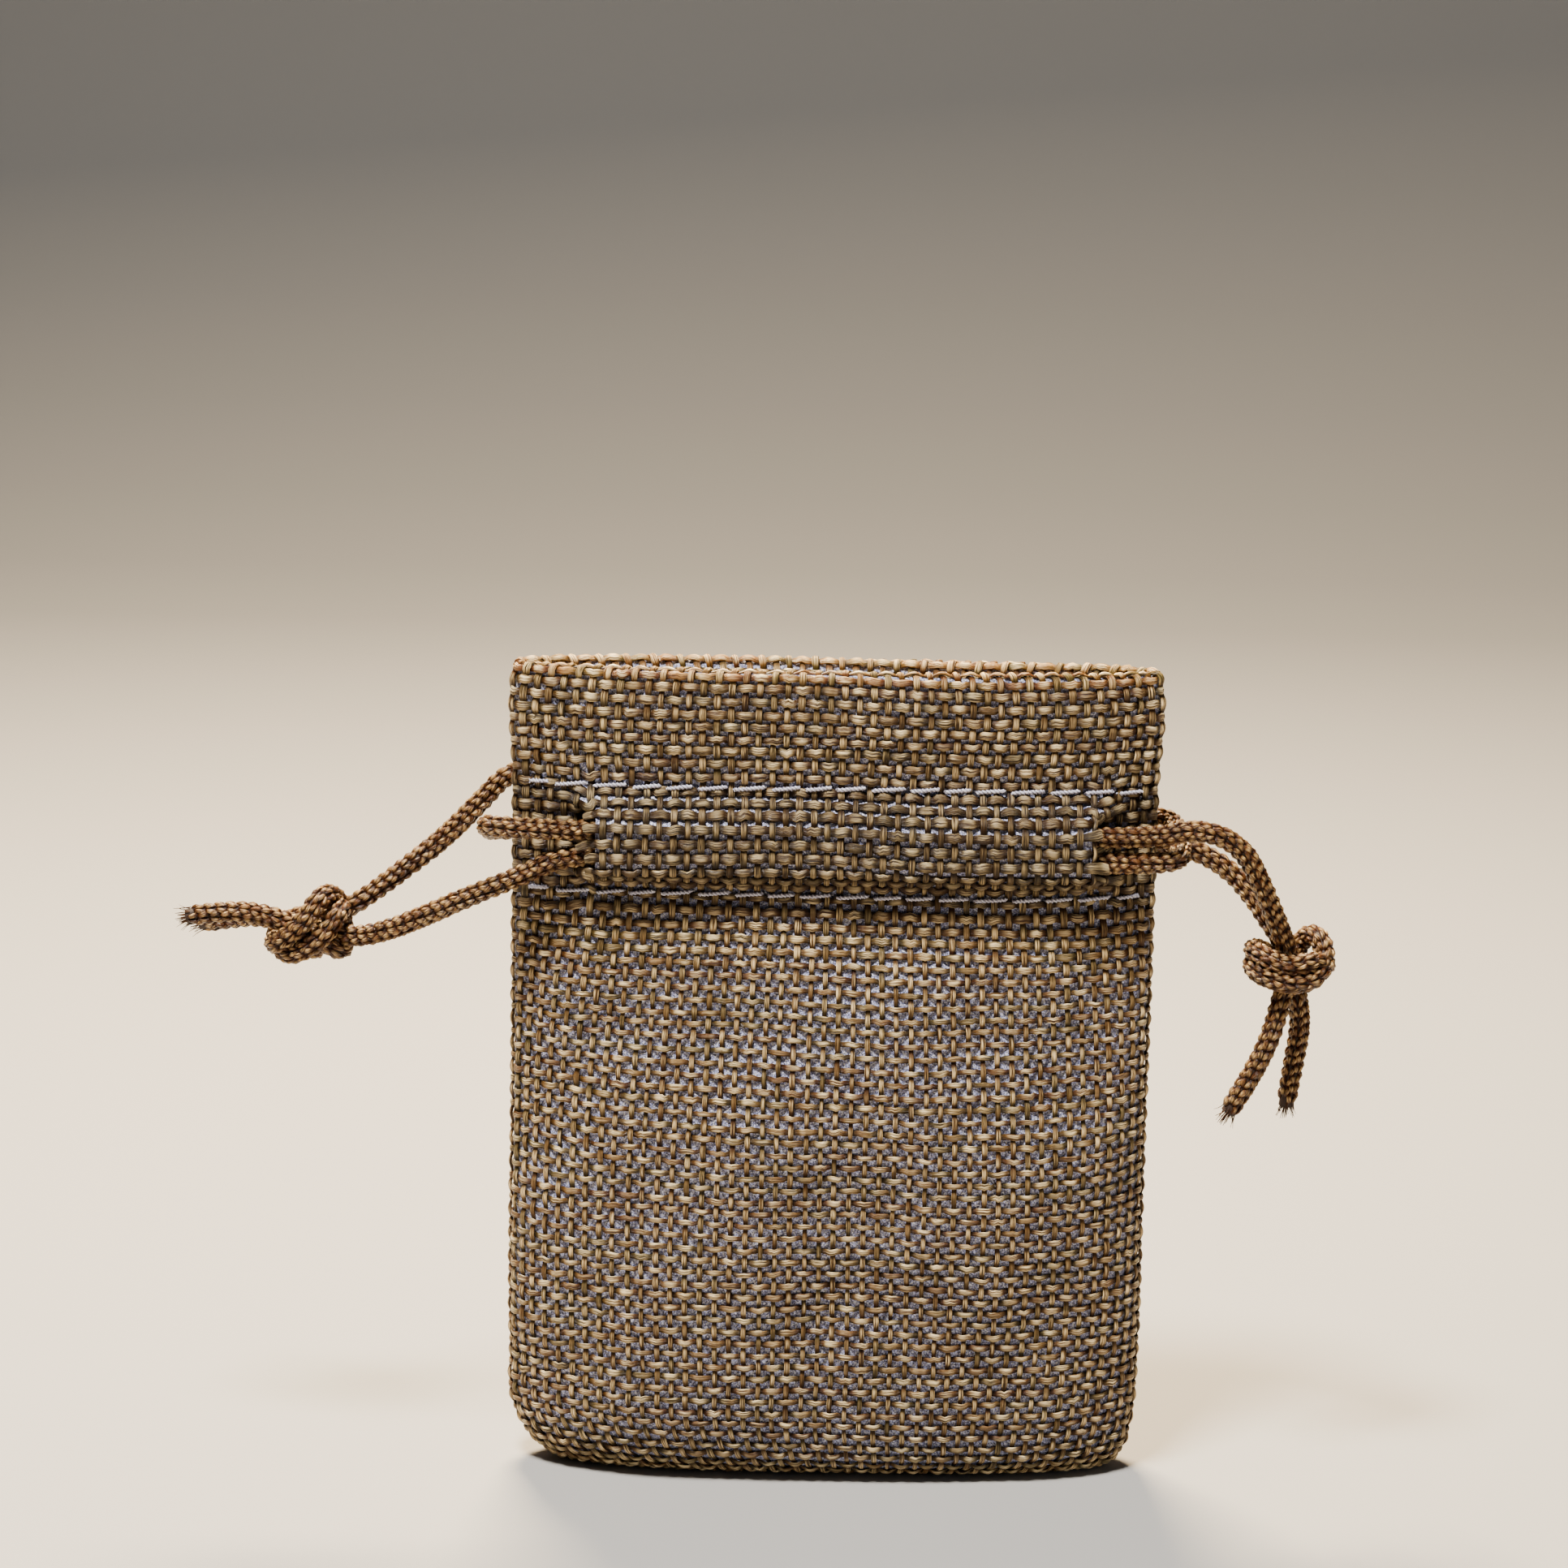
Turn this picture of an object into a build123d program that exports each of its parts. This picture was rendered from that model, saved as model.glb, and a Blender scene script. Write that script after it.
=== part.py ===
from build123d import *
import math
import os

# A small double-drawcord pouch of coarse woven cloth. Millimetres, +X to the right, +Y to the back, +Z up.
# The origin is under the middle of the cloth body, on the surface that the pouch stands on.

# Cloth body
pouch_width = 70.0
pouch_height = 90.0
mouth_depth = 10.4
neck_depth = 10.0
belly_depth = 20.4
base_width = 61.0
base_depth = 12.0
side_fullness = 3.0
cloth_thickness = 0.9
layer_gap = 0.05
lining_thickness = 0.25

# Hem and casing
hem_length = 27.5
upper_stitch_drop = 13.0
casing_height = 11.6
left_slit_inset = 9.3
right_slit_inset = 7.3
casing_edge = 0.8
tunnel_rim = 1.0
tunnel_inner_shift = 0.6
tunnel_play = 0.05

# Side seams
allowance_clearance = 0.55
seam_top_margin = 7.0
allowance_width = 4.2
allowance_layer = 0.7
overlock_pitch = 3.0
overlock_thread = 0.25
overlock_reach = 3.4
seam_end_margin = 4.0

# Stitching
thread_diameter = 0.4
stitch_pitch = 3.9
stitch_length = 3.1
stitch_margin = 5.0
stitch_clearance = 0.1

# Drawcords
cord_diameter = 2.4
cord_clearance = 0.3
cord_stack_gap = 0.3
run_end_from_centre = 14.0
wrap_clearance = 0.4
pivot_clearance = 0.3
pivot_reach = 3.8

# Where each strand bends, outside the side edge: y, and height from the casing's middle
left_front_pivot = (-5.3, -6.2)
left_back_pivot = (5.2, 1.4)
right_front_pivot = (-5.4, 2.6)
right_back_pivot = (5.3, -1.9)

# Knots
left_knot_size = (9.2, 6.8, 6.8)
right_knot_size = (8.4, 6.8, 5.8)

# Worked out from the values above
half_width = pouch_width / 2
cord_radius = cord_diameter / 2
upper_stitch_level = pouch_height - upper_stitch_drop
lower_stitch_level = upper_stitch_level - casing_height
casing_middle = (upper_stitch_level + lower_stitch_level) / 2
left_slit = -half_width + left_slit_inset
right_slit = half_width - right_slit_inset
hem_outer_inset = cloth_thickness + layer_gap
hem_inner_inset = hem_outer_inset + cloth_thickness - 0.1
lining_inner_inset = hem_outer_inset + lining_thickness
lip_thickness = cloth_thickness
channel_y = neck_depth / 2 - hem_outer_inset + cord_clearance + cord_radius
tunnel_inner_y = channel_y + cord_radius + cord_clearance
tunnel_outer_y = tunnel_inner_y + cloth_thickness - 0.05
stack_offset = (cord_diameter + cord_stack_gap) / 2
tunnel_room = casing_height / 2 - stack_offset - cord_radius - cord_clearance
tunnel_slope = tunnel_room - casing_edge - tunnel_rim + tunnel_inner_shift - tunnel_play
upper_cord_level = casing_middle + stack_offset
lower_cord_level = casing_middle - stack_offset
wrap_x = half_width + wrap_clearance + cord_radius
section_points = 28
bottom_split = 3.0


def body_sections():
    """(level, half width, half depth) of the cloth body, from its base to its lip."""
    below = lower_stitch_level
    rows = [
        (0.0, 0.0, 0.0),
        (0.030, 0.52, 0.32),
        (0.090, 0.84, 0.66),
        (0.210, 0.95, 0.88),
        (0.430, 1.0, 1.0),
    ]
    sections = []
    for share, width_share, depth_share in rows:
        width = base_width + (pouch_width - base_width) * width_share
        depth = base_depth + (belly_depth - base_depth) * depth_share
        sections.append((below * share, width / 2, depth / 2))
    for share, depth_share in ((0.70, 0.80), (0.89, 0.30)):
        depth = neck_depth + (belly_depth - neck_depth) * depth_share
        sections.append((below * share, half_width, depth / 2))
    sections.append((lower_stitch_level, half_width, neck_depth / 2))
    sections.append((casing_middle, half_width, neck_depth / 2))
    sections.append((upper_stitch_level, half_width, neck_depth / 2))
    sections.append((pouch_height, half_width, mouth_depth / 2))
    return sections


def plan_outline(level, width, depth):
    """A flattened tube's outline at one level: blunt sides and a nearly flat front and back."""
    points = []
    for step in range(section_points):
        turn = 2 * math.pi * step / section_points
        across = math.cos(turn)
        x = width * math.copysign(abs(across) ** (2 / side_fullness), across)
        points.append((x, depth * math.sin(turn), level))
    return Wire([Spline(*points, periodic=True)])


def body_solid(inset, bottom=0.0, top=pouch_height):
    """The filled cloth body, drawn in all round by inset, from bottom to top."""
    outlines = []
    for level, width, depth in body_sections():
        outlines.append(plan_outline(level, width - inset, depth - inset))
    solid = Solid.make_loft(outlines)
    reach = 4 * pouch_height
    return solid & Pos(0, 0, (bottom + top) / 2) * Box(reach, reach, top - bottom)


def neck_face_y(x, inset=0.0):
    """How far the neck's cloth stands from the middle plane at x."""
    share = abs(x) / (half_width - inset)
    return (neck_depth / 2 - inset) * math.sqrt(1 - share**side_fullness)


def tunnel(inner, side):
    """The casing's bulge over the two cords, from slit to slit: its outer form or its inner hollow."""
    top = upper_stitch_level - casing_edge - (tunnel_rim if inner else 0)
    bottom = lower_stitch_level + casing_edge + (tunnel_rim if inner else 0)
    face = tunnel_inner_y if inner else tunnel_outer_y
    shoulder = neck_depth / 2 - (0.4 if inner else 0)
    slope = tunnel_slope - (tunnel_inner_shift if inner else 0)
    profile = Polyline(
        (0.5, bottom),
        (shoulder, bottom),
        (face, bottom + slope),
        (face, top - slope),
        (shoulder, top),
        (0.5, top),
        close=True,
    )
    section = Plane.YZ * make_face(profile)
    solid = Pos(left_slit, 0, 0) * extrude(section, right_slit - left_slit, dir=(1, 0, 0))
    return solid if side > 0 else mirror(solid, Plane.XZ)


def slab(bottom, top, side=0):
    """All space between two levels, on one side of the middle plane or on both."""
    reach = 2 * pouch_width
    depth = reach if side else 2 * reach
    return Pos(0, side * depth / 2, (bottom + top) / 2) * Box(2 * reach, depth, top - bottom)


def write(name, shape):
    shape.label = name
    export_step(shape, f"parts/{name}.step")


def make_cloth():
    outer = body_solid(0.0) + tunnel(False, 1) + tunnel(False, -1)
    hem_hollow = body_solid(hem_inner_inset, top=pouch_height)
    cavity = body_solid(cloth_thickness, cloth_thickness, pouch_height - lip_thickness)
    shell = outer - (cavity + tunnel(True, 1) + tunnel(True, -1)) - (hem_hollow & slab(10, 2 * pouch_height))
    write("front_panel", shell & slab(bottom_split, 2 * pouch_height, -1))
    write("back_panel", shell & slab(bottom_split, 2 * pouch_height, 1))
    write("bottom_fold", shell & slab(-1, bottom_split))


def make_hem():
    lowest = pouch_height - hem_length
    highest = pouch_height - lip_thickness - layer_gap
    hem = body_solid(hem_outer_inset, lowest, highest) - body_solid(hem_inner_inset)
    write("front_hem", hem & slab(lowest - 1, highest + 1, -1))
    write("back_hem", hem & slab(lowest - 1, highest + 1, 1))


def make_lining():
    floor = hem_outer_inset
    top = pouch_height - hem_length - layer_gap
    film = body_solid(hem_outer_inset, floor, top) - body_solid(
        lining_inner_inset, floor + lining_thickness, top + 1
    )
    write("lining_film", film)


def allowance_outer_x():
    """How far out the seam allowance's two layers reach inside the hem, which narrows towards its sides."""
    reach = layer_gap / 2 + allowance_layer + allowance_clearance
    share = reach / (neck_depth / 2 - hem_inner_inset)
    return (half_width - hem_inner_inset) * (1 - share**2) ** (1 / side_fullness)


def make_side_seam(name, side):
    """Two layers of seam allowance turned inwards, with overlock loops round their raw edge."""
    bottom = 2 * seam_end_margin
    top = pouch_height - seam_top_margin
    outer_x = allowance_outer_x()
    raw_x = outer_x - allowance_width
    height = top - bottom
    layers = []
    for face in (-1, 1):
        centre_y = face * (layer_gap / 2 + allowance_layer / 2)
        place = Pos(side * (outer_x + raw_x) / 2, centre_y, bottom + height / 2)
        layers.append(place * Box(allowance_width, allowance_layer, height))
    write(f"{name}_seam_allowance", Compound(children=layers))
    inner_half = allowance_layer + layer_gap
    outer_half = inner_half + overlock_thread
    loops = []
    count = int(height / overlock_pitch) - 1
    for index in range(count):
        level = bottom + overlock_pitch * (index + 0.75)
        length = overlock_reach + overlock_thread
        middle = raw_x - layer_gap - overlock_thread + length / 2
        ring = Pos(side * middle, 0, level) * Box(length, 2 * outer_half, 1.4 * overlock_thread)
        slot_middle = middle + overlock_thread
        ring -= Pos(side * slot_middle, 0, level) * Box(length, 2 * inner_half, 2)
        loops.append(ring)
    write(f"{name}_overlock_thread", Compound(children=loops))


def make_stitching(name, level, side):
    """One row of lockstitch: needle thread on the outer face, bobbin thread on the hem's inner face."""
    stitches = []
    first = -half_width + stitch_margin
    count = int((pouch_width - 2 * stitch_margin) / stitch_pitch)
    for row, inset, face in ((0, 0.0, 1), (0.5, hem_inner_inset, -1)):
        for index in range(count):
            x = first + stitch_pitch * (index + 0.5 + row)
            ends = [neck_face_y(x + face_x, inset) for face_x in (-stitch_length / 2, stitch_length / 2)]
            lean = math.degrees(math.atan2(ends[1] - ends[0], stitch_length))
            away = face * (stitch_clearance + thread_diameter / 2)
            y = neck_face_y(x, inset) + away
            place = Pos(x, side * y, level) * Rot(0, 0, side * lean)
            stitches.append(place * Box(stitch_length, thread_diameter, thread_diameter))
    write(name, Compound(children=stitches))


def bend_radii(points):
    """The largest arc that each corner's two runs have room for."""
    radii = []
    for before, corner, after in zip(points, points[1:], points[2:]):
        first = Vector(*corner) - Vector(*before)
        second = Vector(*after) - Vector(*corner)
        turn = first.get_angle(second)
        shorter = min(first.length, second.length)
        radii.append(0.45 * shorter / math.tan(math.radians(turn / 2)))
    return radii


def cord_tube(name, points):
    """A length of drawcord along straight runs joined by tangent arcs."""
    radii = bend_radii(points)
    print(name, "radii", " ".join(f"{r:.1f}" for r in radii))
    if radii:
        path = FilletPolyline(*points, radius=radii)
    else:
        path = Line(*points)
    start = Plane(origin=path @ 0, z_dir=path % 0)
    tube = sweep(start * Circle(cord_radius), path=path)
    ideal = path.length * math.pi * cord_radius**2
    print(name, f"length {path.length:.1f}", f"volume {tube.volume:.1f} of {ideal:.1f}")
    return tube


def free_points(side, offsets):
    """Route points given as distance out from the side edge, y, and height from the casing's middle."""
    return [(side * (half_width + out), y, casing_middle + rise) for out, y, rise in offsets]


def pivot_point(offset):
    """Where a strand bends between its drawn part and its hanging part."""
    y, rise = offset
    return (pivot_reach, y, rise)


def step_towards(start, target, distance):
    way = (Vector(*target) - Vector(*start)).normalized()
    reached = Vector(*start) + way * distance
    return (reached.X, reached.Y, reached.Z)


def make_strand(names, side, y_side, level, near, pivot, beyond):
    """One strand of a cord: its drawn run out of the casing, and its hanging part as far as the knot."""
    run_name, strand_name = names
    channel_start = (-side * (run_end_from_centre - cord_clearance), y_side * channel_y, level)
    near_points = free_points(side, near)
    pivot_at = free_points(side, [pivot_point(pivot)])[0]
    run = cord_tube(run_name, [channel_start, *near_points, pivot_at])
    write(run_name, run + Pos(*pivot_at) * Sphere(cord_radius))
    beyond_points = free_points(side, beyond)
    start = step_towards(pivot_at, beyond_points[0], cord_radius + pivot_clearance)
    write(strand_name, cord_tube(strand_name, [start, *beyond_points]))


def make_wrap(name, side, front_level, back_level):
    """The stretch of the other side's cord that leaves one slit, rounds the side edge and enters the next."""
    start_x = side * run_end_from_centre
    points = [
        (start_x, -channel_y, front_level),
        (side * wrap_x, -channel_y, front_level),
        (side * wrap_x, channel_y, back_level),
        (start_x, channel_y, back_level),
    ]
    write(name, cord_tube(name, points))


def make_knot(name, centre, size):
    """A plain closed form as large as the doubled overhand knot."""
    length, depth, height = size
    ball = Sphere(0.5)
    write(name, Pos(*centre) * scale(ball, by=(length, depth, height)))


def make_left_cord():
    make_strand(
        ("left_cord_front_run", "left_cord_front_strand"),
        -1,
        -1,
        lower_cord_level,
        [(-6.4, -channel_y, -stack_offset), (-1.6, -5.8, -3.9)],
        left_front_pivot,
        [(9.0, -4.4, -8.9), (13.6, -3.4, -11.0), (18.5, -2.4, -11.6)],
    )
    make_strand(
        ("left_cord_back_run", "left_cord_back_strand"),
        -1,
        1,
        upper_cord_level,
        [(-6.6, channel_y, stack_offset), (-3.4, 6.0, 4.7), (0.2, 6.0, 5.4)],
        left_back_pivot,
        [(7.6, 3.8, -2.3), (13.0, 1.8, -6.3), (18.8, 0.0, -9.6)],
    )
    make_knot("left_knot", free_points(-1, [(21.5, -1.2, -10.5)])[0], left_knot_size)
    tails = {
        "left_tail_front": [(24.6, -2.5, -9.6), (29.6, -2.9, -8.7), (34.4, -2.5, -9.7)],
        "left_tail_back": [(24.6, 0.3, -10.4), (29.2, 0.9, -10.4), (33.6, 1.2, -11.3)],
    }
    for name, offsets in tails.items():
        write(name, cord_tube(name, free_points(-1, offsets)))
    make_wrap("left_cord_wrap", 1, lower_cord_level, upper_cord_level)


def make_right_cord():
    make_strand(
        ("right_cord_front_run", "right_cord_front_strand"),
        1,
        -1,
        upper_cord_level,
        [(-1.6, -channel_y, stack_offset)],
        right_front_pivot,
        [(8.4, -5.0, 0.6), (11.0, -4.3, -4.4), (13.2, -3.3, -9.3), (14.4, -2.4, -12.4)],
    )
    make_strand(
        ("right_cord_back_run", "right_cord_back_strand"),
        1,
        1,
        lower_cord_level,
        [(-1.4, channel_y, -stack_offset)],
        right_back_pivot,
        [(8.2, 4.2, -4.0), (11.4, 2.4, -7.8), (13.8, 0.8, -11.8)],
    )
    make_knot("right_knot", free_points(1, [(14.4, -1.2, -12.9)])[0], right_knot_size)
    tails = {
        "right_tail_front": [(13.7, -2.5, -15.0), (12.6, -3.1, -20.6), (10.6, -3.3, -25.2), (8.2, -3.1, -29.4)],
        "right_tail_back": [(15.4, 0.2, -14.7), (16.2, 0.8, -20.6), (15.6, 1.2, -25.2), (15.0, 1.2, -29.8)],
    }
    for name, offsets in tails.items():
        write(name, cord_tube(name, free_points(1, offsets)))
    make_wrap("right_cord_wrap", -1, upper_cord_level, lower_cord_level)


os.makedirs("parts", exist_ok=True)
make_cloth()
make_hem()
make_lining()
make_side_seam("left", -1)
make_side_seam("right", 1)
make_stitching("front_upper_stitching", upper_stitch_level, -1)
make_stitching("front_lower_stitching", lower_stitch_level, -1)
make_stitching("back_upper_stitching", upper_stitch_level, 1)
make_stitching("back_lower_stitching", lower_stitch_level, 1)
make_left_cord()
make_right_cord()
for side, name, pivots in (
    (-1, "left", (left_front_pivot, left_back_pivot)),
    (1, "right", (right_front_pivot, right_back_pivot)),
):
    print("swing axis", name, free_points(side, [pivot_point(pivot) for pivot in pivots]))
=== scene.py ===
import bpy
import math
import numpy as np
from mathutils import Matrix, Vector, noise


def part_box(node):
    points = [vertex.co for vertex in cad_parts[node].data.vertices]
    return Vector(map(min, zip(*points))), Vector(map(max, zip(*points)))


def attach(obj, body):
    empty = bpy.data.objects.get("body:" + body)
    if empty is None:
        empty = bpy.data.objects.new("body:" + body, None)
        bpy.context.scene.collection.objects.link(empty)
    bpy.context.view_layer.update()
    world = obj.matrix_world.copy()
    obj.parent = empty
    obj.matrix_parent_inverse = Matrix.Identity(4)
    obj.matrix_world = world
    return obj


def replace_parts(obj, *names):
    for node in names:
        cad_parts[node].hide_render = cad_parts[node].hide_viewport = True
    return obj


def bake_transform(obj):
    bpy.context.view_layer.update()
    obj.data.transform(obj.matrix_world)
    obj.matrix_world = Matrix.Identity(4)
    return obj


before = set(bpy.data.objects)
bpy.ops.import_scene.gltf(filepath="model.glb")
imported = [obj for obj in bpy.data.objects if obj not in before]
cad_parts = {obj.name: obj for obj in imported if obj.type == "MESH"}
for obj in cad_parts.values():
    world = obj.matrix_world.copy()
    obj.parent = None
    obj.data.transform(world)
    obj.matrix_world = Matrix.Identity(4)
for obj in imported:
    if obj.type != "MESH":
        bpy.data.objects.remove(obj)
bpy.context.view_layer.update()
mm = 0.001

# camera, floor and lights
studio = {
    "aim": (-0.0055, -0.005, 0.0777),
    "distance": 0.42,
    "elevation": 12.0,
    "roll": 1.0,
    "viewWidth": 0.1662,
    "floorColour": (0.38, 0.37, 0.355),
    "backLight": 14.0,
    "keyLight": 7.6,
    "fillLight": 0.16,
    "roomLight": 0.03,
}


def placeObject(name, data):
    piece = bpy.data.objects.new(name, data)
    bpy.context.collection.objects.link(piece)
    return piece


def newMaterial(name):
    material = bpy.data.materials.new(name)
    material.use_nodes = True
    return material, material.node_tree, material.node_tree.nodes["Principled BSDF"]


def makeCamera():
    lift = math.radians(studio["elevation"])
    aim = Vector(studio["aim"])
    away = Vector((0.0, -math.cos(lift), math.sin(lift)))
    lens = bpy.data.cameras.new("pouchCamera")
    lens.sensor_width = 36.0
    lens.lens = 36.0 * studio["distance"] / studio["viewWidth"]
    lens.clip_start = 0.01
    camera = placeObject("pouchCamera", lens)
    look = (-away).to_track_quat("-Z", "Y")
    roll = Matrix.Rotation(math.radians(studio["roll"]), 4, "Z")
    place = Matrix.Translation(aim + away * studio["distance"])
    camera.matrix_world = place @ look.to_matrix().to_4x4() @ roll
    bpy.context.scene.camera = camera


def makeAreaLight(name, place, target, size, power, colour):
    lamp = bpy.data.lights.new(name, "AREA")
    lamp.shape = "RECTANGLE"
    lamp.size, lamp.size_y = size
    lamp.energy = power
    lamp.color = colour
    holder = placeObject(name, lamp)
    holder.location = place
    holder.rotation_euler = (Vector(target) - Vector(place)).to_track_quat("-Z", "Y").to_euler()


def makeStudio():
    world = bpy.data.worlds.new("softRoom")
    bpy.context.scene.world = world
    world.use_nodes = True
    world.node_tree.nodes["Background"].inputs["Color"].default_value = (0.9, 0.93, 1.0, 1.0)
    world.node_tree.nodes["Background"].inputs["Strength"].default_value = studio["roomLight"]
    aim = (0.0, 0.0, 0.05)
    makeAreaLight("backLight", (-0.06, 0.24, 0.46), aim, (0.16, 0.12), studio["backLight"], (1.0, 0.78, 0.50))
    makeAreaLight("keyLight", (-0.10, -0.17, 0.52), aim, (0.10, 0.10), studio["keyLight"], (1.0, 0.96, 0.90))
    makeAreaLight("fillLight", (0.42, -0.30, 0.16), aim, (0.40, 0.30), studio["fillLight"], (0.88, 0.93, 1.0))
    # the floor curves up behind into a plain backdrop
    floor = bpy.data.meshes.new("floor")
    profile = [(-1.2, 0.0), (0.55, 0.0)]
    for k in range(1, 13):
        turn = k * math.pi / 24
        profile.append((0.55 + 0.45 * math.sin(turn), 0.45 - 0.45 * math.cos(turn)))
    profile.append((1.0, 1.6))
    corners = [(x, y, z) for y, z in profile for x in (-1.6, 1.6)]
    faces = [(2 * k, 2 * k + 1, 2 * k + 3, 2 * k + 2) for k in range(len(profile) - 1)]
    floor.from_pydata(corners, [], faces)
    for polygon in floor.polygons:
        polygon.use_smooth = True
    floorPiece = placeObject("floor", floor)
    paper, tree, surface = newMaterial("palePaper")
    surface.inputs["Base Color"].default_value = (*studio["floorColour"], 1.0)
    surface.inputs["Roughness"].default_value = 0.8
    floor.materials.append(paper)


makeCamera()
makeStudio()
print("studio ready")

# node helpers


def newGroup(name, kind, inputs, outputs):
    group = bpy.data.node_groups.new(name, kind)
    for label, socketType, value in inputs:
        socket = group.interface.new_socket(label, in_out="INPUT", socket_type=socketType)
        if value is not None:
            socket.default_value = value
    for label, socketType in outputs:
        group.interface.new_socket(label, in_out="OUTPUT", socket_type=socketType)
    return group, group.nodes.new("NodeGroupInput"), group.nodes.new("NodeGroupOutput")


def addNode(tree, kind, **settings):
    node = tree.nodes.new(kind)
    for key, value in settings.items():
        setattr(node, key, value)
    return node


def feed(tree, source, node, socket):
    tree.links.new(source, node.inputs[socket])


def mathNode(tree, operation, first, second=0.0, clamp=False):
    node = addNode(tree, "ShaderNodeMath", operation=operation, use_clamp=clamp)
    for index, value in enumerate((first, second)):
        if isinstance(value, (int, float)):
            node.inputs[index].default_value = value
        else:
            tree.links.new(value, node.inputs[index])
    return node.outputs[0]


def mixColours(tree, factor, first, second, blend="MIX"):
    node = addNode(tree, "ShaderNodeMix", data_type="RGBA", blend_type=blend)
    for index, value in ((0, factor), (6, first), (7, second)):
        if isinstance(value, (int, float)):
            node.inputs[index].default_value = value
        elif isinstance(value, tuple):
            node.inputs[index].default_value = (*value, 1.0)
        else:
            tree.links.new(value, node.inputs[index])
    return node.outputs[2]


def spread(tree, value, low, high, toLow=0.0, toHigh=1.0):
    node = addNode(tree, "ShaderNodeMapRange")
    tree.links.new(value, node.inputs["Value"])
    for label, number in (("From Min", low), ("From Max", high), ("To Min", toLow), ("To Max", toHigh)):
        node.inputs[label].default_value = number
    return node.outputs["Result"]


# shared shader groups


def makeFibreStreaks():
    # fine filaments that run along a yarn, from its own along, across and shade values
    group, inside, outside = newGroup(
        "fibreStreaks",
        "ShaderNodeTree",
        [
            ("Along", "NodeSocketFloat", 0.0),
            ("Across", "NodeSocketFloat", 0.0),
            ("Shade", "NodeSocketFloat", 0.0),
            ("Filaments", "NodeSocketFloat", 9.0),
            ("Stretch", "NodeSocketFloat", 0.35),
        ],
        [("Streak", "NodeSocketFloat"), ("Slow", "NodeSocketFloat"), ("Patch", "NodeSocketFloat")],
    )
    along, across, shade = (inside.outputs[label] for label in ("Along", "Across", "Shade"))

    def grainAlong(label, axes, detail, roughness, low, high):
        join = addNode(group, "ShaderNodeCombineXYZ")
        for index, (value, factor) in enumerate(axes):
            feed(group, mathNode(group, "MULTIPLY", value, factor), join, index)
        grain = addNode(group, "ShaderNodeTexNoise", noise_dimensions="3D")
        for socket, value in (("Scale", 1.0), ("Detail", detail), ("Roughness", roughness)):
            grain.inputs[socket].default_value = value
        feed(group, join.outputs[0], grain, "Vector")
        feed(group, spread(group, grain.outputs["Fac"], low, high), outside, label)

    fine = [(across, inside.outputs["Filaments"]), (along, inside.outputs["Stretch"]), (shade, 173.0)]
    grainAlong("Streak", fine, 3.0, 0.65, 0.32, 0.68)
    grainAlong("Slow", [(along, 0.16), (shade, 311.0)], 2.0, 0.5, 0.3, 0.7)
    grainAlong("Patch", [(along, 0.42), (shade, 97.0)], 1.0, 0.5, 0.34, 0.66)
    return group


fibreStreaks = makeFibreStreaks()


def attribute(tree, name):
    node = addNode(tree, "ShaderNodeAttribute", attribute_name=name)
    return node.outputs["Fac"]


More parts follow.
